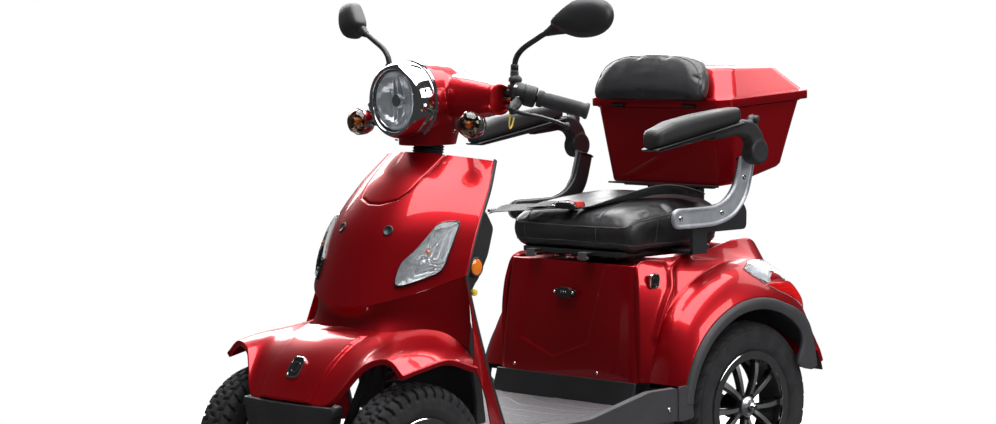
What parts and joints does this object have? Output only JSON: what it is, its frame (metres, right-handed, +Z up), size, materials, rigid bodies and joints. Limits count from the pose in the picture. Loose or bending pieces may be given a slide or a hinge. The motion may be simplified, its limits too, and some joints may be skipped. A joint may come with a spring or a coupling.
{
  "type": "mobility scooter",
  "caption": "Mobility scooter with handlebar steering, faired front, tip-up seat with flip-up armrests, lap belt, and a lidded luggage box that carries the backrest.",
  "frame": {"origin": "centre of the base of the bounding box, on the ground", "axes": "+Z up, +Y from the front bumper to the luggage box, +X to the rider's left"},
  "size_m": [0.9132, 1.577, 1.2043],
  "materials": {
    "red_paint": "candy metallic red lacquer, high gloss",
    "black_plastic": "moulded black plastic, fine grain",
    "grey_plastic": "moulded dark grey plastic",
    "black_steel": "satin black powder coat",
    "silver_paint": "satin silver paint",
    "wheel_alloy": "black enamel with bright machined faces",
    "chrome": "polished",
    "cast_metal": "cast and painted",
    "clear_lens": "clear lens over a faceted reflector",
    "smoked_lens": "smoked lens with an amber bulb",
    "red_lens": "red and clear ribbed lens",
    "tyre": "moulded tread rubber",
    "leather": "black grained synthetic leather",
    "soft_rubber": "soft moulded rubber and foam skin",
    "webbing": "woven belt webbing",
    "red_button": "red moulded plastic"
  },
  "bodies": {
    "chassis": {"chassis_frame": "black_steel", "transaxle": "cast_metal", "battery_pack": "black_plastic", "floor_pan": "grey_plastic", "front_bumper": "black_plastic", "front_hood": "red_paint", "leg_shield": "red_paint", "leg_shield_back": "black_plastic", "side_lamp_left": "clear_lens", "side_lamp_right": "clear_lens", "rear_body_left": "red_paint", "rear_body_right": "red_paint", "arch_trim_left": "grey_plastic", "arch_trim_right": "grey_plastic", "tail_lamp_left": "red_lens", "tail_lamp_right": "red_lens", "seat_box_front": "red_paint", "rear_deck": "red_paint", "luggage_box": "red_paint", "box_rack": "black_steel", "front_shock_left": "black_steel", "front_shock_right": "black_steel"},
    "lid": {"box_lid": "red_paint", "backrest_pad": "leather"},
    "seat": {"seat_pan": "black_plastic", "seat_cushion": "leather", "armrest_bracket_left": "silver_paint", "armrest_bracket_right": "silver_paint", "lap_belt": "webbing"},
    "belt_button": {"belt_button": "red_button"},
    "armrest_left": {"armrest_arm_left": "black_plastic", "armrest_pad_left": "soft_rubber"},
    "armrest_right": {"armrest_arm_right": "black_plastic", "armrest_pad_right": "soft_rubber"},
    "handlebar": {"handlebar": "black_steel", "nacelle": "red_paint", "headlamp_rim": "chrome", "headlamp_lens": "clear_lens", "signal_left": "smoked_lens", "signal_right": "smoked_lens", "grip_left": "soft_rubber", "control_left": "black_plastic", "control_right": "black_plastic"},
    "throttle": {"throttle_grip": "soft_rubber"},
    "brake_lever_left": {"brake_lever_left": "black_steel"},
    "brake_lever_right": {"brake_lever_right": "black_steel"},
    "horn_button": {"horn_button": "red_button"},
    "mirror_left": {"mirror_head_left": "black_plastic"},
    "mirror_right": {"mirror_head_right": "black_plastic"},
    "knuckle_left": {"knuckle_left": "cast_metal"},
    "knuckle_right": {"knuckle_right": "cast_metal"},
    "track_rod": {"track_rod": "black_steel"},
    "front_wheel_left": {"front_tyre_left": "tyre", "front_rim_left": "wheel_alloy"},
    "front_wheel_right": {"front_tyre_right": "tyre", "front_rim_right": "wheel_alloy"},
    "rear_wheel_left": {"rear_tyre_left": "tyre", "rear_rim_left": "wheel_alloy"},
    "rear_wheel_right": {"rear_tyre_right": "tyre", "rear_rim_right": "wheel_alloy"}
  },
  "joints": [
    {"name": "steer", "type": "hinge", "parent": "chassis", "child": "handlebar", "pos_m": [0, -0.3185, 0.85], "axis": [0, 0.342, 0.9397], "range_deg": [-30, 30]},
    {"name": "knuckle_left_steer", "type": "hinge", "parent": "chassis", "child": "knuckle_left", "pos_m": [0.165, -0.6035, 0.185], "axis": [0, 0, 1], "range_deg": [-20, 20]},
    {"name": "knuckle_right_steer", "type": "hinge", "parent": "chassis", "child": "knuckle_right", "pos_m": [-0.165, -0.6035, 0.185], "axis": [0, 0, 1], "range_deg": [-20, 20]},
    {"name": "track_rod_slide", "type": "slide", "parent": "chassis", "child": "track_rod", "axis": [1, 0, 0], "range_m": [-0.0284, 0.0284]},
    {"name": "front_wheel_left_spin", "type": "hinge", "parent": "knuckle_left", "child": "front_wheel_left", "pos_m": [0.252, -0.6035, 0.185], "axis": [1, 0, 0], "continuous": true},
    {"name": "front_wheel_right_spin", "type": "hinge", "parent": "knuckle_right", "child": "front_wheel_right", "pos_m": [-0.252, -0.6035, 0.185], "axis": [1, 0, 0], "continuous": true},
    {"name": "rear_wheel_left_spin", "type": "hinge", "parent": "chassis", "child": "rear_wheel_left", "pos_m": [0.29, 0.4415, 0.21], "axis": [1, 0, 0], "continuous": true},
    {"name": "rear_wheel_right_spin", "type": "hinge", "parent": "chassis", "child": "rear_wheel_right", "pos_m": [-0.29, 0.4415, 0.21], "axis": [1, 0, 0], "continuous": true},
    {"name": "throttle_twist", "type": "hinge", "parent": "handlebar", "child": "throttle", "pos_m": [-0.258, -0.2175, 0.982], "axis": [-0.7357, 0.6238, -0.2639], "range_deg": [0, 60], "stiffness_Nm_per_rad": 0.4, "springref_deg": -22.92},
    {"name": "brake_left", "type": "hinge", "parent": "handlebar", "child": "brake_lever_left", "pos_m": [0.24, -0.2745, 0.953], "axis": [0.7094, -0.5293, 0.4653], "range_deg": [0, 9], "stiffness_Nm_per_rad": 3, "springref_deg": -11.46},
    {"name": "brake_right", "type": "hinge", "parent": "handlebar", "child": "brake_lever_right", "pos_m": [-0.24, -0.2745, 0.953], "axis": [0.7094, 0.5293, -0.4653], "range_deg": [0, 9], "stiffness_Nm_per_rad": 3, "springref_deg": -11.46},
    {"name": "mirror_left_fold", "type": "hinge", "parent": "handlebar", "child": "mirror_left", "pos_m": [0.322, -0.2365, 1.135], "axis": [0, 0, 1], "range_deg": [-20, 20]},
    {"name": "mirror_right_fold", "type": "hinge", "parent": "handlebar", "child": "mirror_right", "pos_m": [-0.322, -0.2365, 1.135], "axis": [0, 0, 1], "range_deg": [-20, 20]},
    {"name": "horn_press", "type": "slide", "parent": "handlebar", "child": "horn_button", "axis": [0.4511, -0.7018, -0.5514], "range_m": [0, 0.0025], "stiffness_N_per_m": 400, "springref_m": -0.002},
    {"name": "seat_tilt", "type": "hinge", "parent": "chassis", "child": "seat", "pos_m": [0, 0.1395, 0.586], "axis": [1, 0, 0], "range_deg": [0, 40]},
    {"name": "armrest_left_lift", "type": "hinge", "parent": "seat", "child": "armrest_left", "pos_m": [0.3, 0.4835, 0.833], "axis": [-1, 0, 0], "range_deg": [0, 90]},
    {"name": "armrest_right_lift", "type": "hinge", "parent": "seat", "child": "armrest_right", "pos_m": [-0.3, 0.4835, 0.833], "axis": [-1, 0, 0], "range_deg": [0, 90]},
    {"name": "belt_release", "type": "slide", "parent": "seat", "child": "belt_button", "axis": [-1, 0, 0], "range_m": [0, 0.003], "stiffness_N_per_m": 500, "springref_m": -0.002},
    {"name": "lid_open", "type": "hinge", "parent": "chassis", "child": "lid", "pos_m": [0, 0.4495, 0.938], "axis": [1, 0, 0], "range_deg": [0, 60]}
  ],
  "couplings": [
    {"joint": "knuckle_left_steer", "follows": "steer", "ratio": 0.66667},
    {"joint": "knuckle_right_steer", "follows": "steer", "ratio": 0.66667},
    {"joint": "track_rod_slide", "follows": "steer", "m_per_rad": -0.053333}
  ]
}
